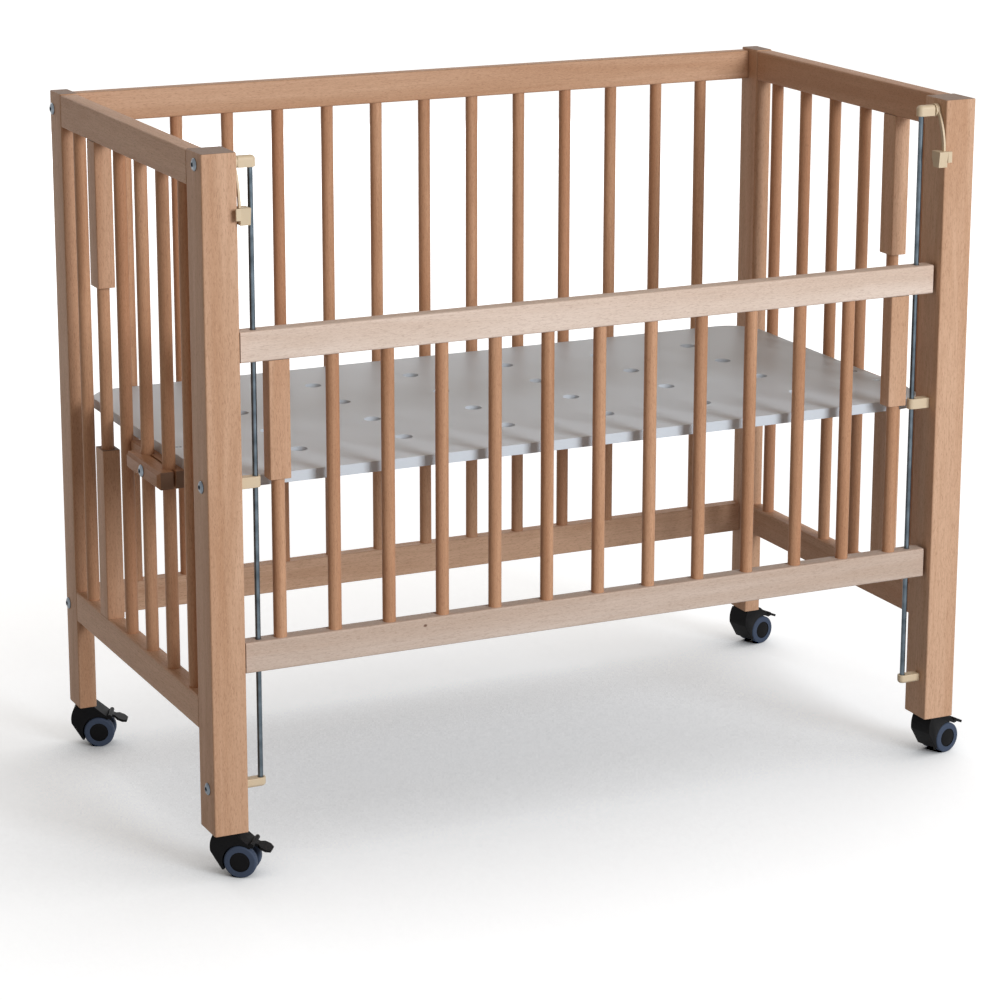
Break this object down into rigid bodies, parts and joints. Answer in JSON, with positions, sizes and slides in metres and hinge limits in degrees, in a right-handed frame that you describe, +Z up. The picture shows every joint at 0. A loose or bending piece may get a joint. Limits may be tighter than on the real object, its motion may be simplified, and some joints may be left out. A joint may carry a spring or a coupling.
{
  "type": "bedside sleeper crib",
  "caption": "Slatted wooden bedside crib on braked castors, with a sliding drop side on guide rods, hanging side hooks and a height-adjustable ventilated base board.",
  "frame": {"origin": "on the floor, under the middle of the whole crib's bounding box", "axes": "+X along the crib's length (the castors trail roughly to +X), +Y from the drop side to the back, +Z up"},
  "size_m": [1.0154, 0.5348, 0.812],
  "materials": {
    "beech": "satin",
    "white_board": "matte",
    "zinc_steel": "satin",
    "beige_plastic": "matte",
    "black_plastic": "satin",
    "tyre_rubber": "matte"
  },
  "bodies": {
    "frame": {"post_front_left": "beech", "post_back_left": "beech", "end_left_top_rail": "beech", "end_left_bottom_rail": "beech", "end_left_bars": "beech", "end_left_stop_blocks": "beech", "guide_rod_left": "zinc_steel", "post_front_right": "beech", "post_back_right": "beech", "end_right_top_rail": "beech", "end_right_bottom_rail": "beech", "end_right_bars": "beech", "end_right_stop_blocks": "beech", "guide_rod_right": "zinc_steel", "back_top_rail": "beech", "back_bottom_rail": "beech", "back_bars": "beech", "rod_brackets_top": "beige_plastic", "rod_brackets_middle": "beige_plastic", "rod_brackets_bottom": "beige_plastic", "bracket_screws": "zinc_steel", "back_bolts": "zinc_steel"},
    "drop_side": {"drop_top_rail": "beech", "drop_bottom_rail": "beech", "drop_bars": "beech", "drop_blocks": "beech"},
    "base": {"base_board": "white_board", "clamp_inner_jaws": "beech", "clamp_outer_jaws": "beech", "clamp_bolts": "zinc_steel"},
    "latch_left": {"latch_left": "beige_plastic"},
    "latch_right": {"latch_right": "beige_plastic"},
    "castor_front_left": {"castor_front_left_housing": "black_plastic"},
    "wheels_front_left": {"castor_front_left_wheels": "tyre_rubber"},
    "pedal_front_left": {"castor_front_left_pedal": "black_plastic"},
    "castor_front_right": {"castor_front_right_housing": "black_plastic"},
    "wheels_front_right": {"castor_front_right_wheels": "tyre_rubber"},
    "pedal_front_right": {"castor_front_right_pedal": "black_plastic"},
    "castor_back_left": {"castor_back_left_housing": "black_plastic"},
    "wheels_back_left": {"castor_back_left_wheels": "tyre_rubber"},
    "pedal_back_left": {"castor_back_left_pedal": "black_plastic"},
    "castor_back_right": {"castor_back_right_housing": "black_plastic"},
    "wheels_back_right": {"castor_back_right_wheels": "tyre_rubber"},
    "pedal_back_right": {"castor_back_right_pedal": "black_plastic"}
  },
  "joints": [
    {"name": "drop_slide", "type": "slide", "parent": "frame", "child": "drop_side", "axis": [0, 0, 1], "range_m": [-0.12, 0.172]},
    {"name": "base_slide", "type": "slide", "parent": "frame", "child": "base", "axis": [0, 0, 1], "range_m": [-0.0075, 0.16]},
    {"name": "latch_left_swing", "type": "hinge", "parent": "frame", "child": "latch_left", "pos_m": [0, -0.23337, 0.79875], "axis": [1, 0, 0], "range_deg": [-25, 5]},
    {"name": "latch_right_swing", "type": "hinge", "parent": "frame", "child": "latch_right", "pos_m": [0, -0.23337, 0.79875], "axis": [1, 0, 0], "range_deg": [-25, 5]},
    {"name": "swivel_front_left", "type": "hinge", "parent": "frame", "child": "castor_front_left", "pos_m": [-0.47521, -0.22987, 0.052], "axis": [0, 0, 1], "continuous": true},
    {"name": "roll_front_left", "type": "hinge", "parent": "castor_front_left", "child": "wheels_front_left", "pos_m": [-0.45883, -0.24135, 0.01875], "axis": [0.5736, 0.8192, 0], "continuous": true},
    {"name": "brake_front_left", "type": "hinge", "parent": "castor_front_left", "child": "pedal_front_left", "pos_m": [-0.44784, -0.24904, 0.03865], "axis": [0.5736, 0.8192, 0], "range_deg": [0, 15]},
    {"name": "swivel_front_right", "type": "hinge", "parent": "frame", "child": "castor_front_right", "pos_m": [0.44479, -0.22987, 0.052], "axis": [0, 0, 1], "continuous": true},
    {"name": "roll_front_right", "type": "hinge", "parent": "castor_front_right", "child": "wheels_front_right", "pos_m": [0.46419, -0.22504, 0.01875], "axis": [-0.2419, 0.9703, 0], "continuous": true},
    {"name": "brake_front_right", "type": "hinge", "parent": "castor_front_right", "child": "pedal_front_right", "pos_m": [0.47721, -0.22179, 0.03865], "axis": [-0.2419, 0.9703, 0], "range_deg": [0, 15]},
    {"name": "swivel_back_left", "type": "hinge", "parent": "frame", "child": "castor_back_left", "pos_m": [-0.48421, 0.24213, 0.052], "axis": [0, 0, 1], "continuous": true},
    {"name": "roll_back_left", "type": "hinge", "parent": "castor_back_left", "child": "wheels_back_left", "pos_m": [-0.46609, 0.23367, 0.01875], "axis": [0.4226, 0.9063, 0], "continuous": true},
    {"name": "brake_back_left", "type": "hinge", "parent": "castor_back_left", "child": "pedal_back_left", "pos_m": [-0.45393, 0.228, 0.03865], "axis": [0.4226, 0.9063, 0], "range_deg": [0, 15]},
    {"name": "swivel_back_right", "type": "hinge", "parent": "frame", "child": "castor_back_right", "pos_m": [0.45379, 0.24213, 0.052], "axis": [0, 0, 1], "continuous": true},
    {"name": "roll_back_right", "type": "hinge", "parent": "castor_back_right", "child": "wheels_back_right", "pos_m": [0.47301, 0.24764, 0.01875], "axis": [-0.2756, 0.9613, 0], "continuous": true},
    {"name": "brake_back_right", "type": "hinge", "parent": "castor_back_right", "child": "pedal_back_right", "pos_m": [0.48591, 0.25134, 0.03865], "axis": [-0.2756, 0.9613, 0], "range_deg": [0, 15]}
  ]
}
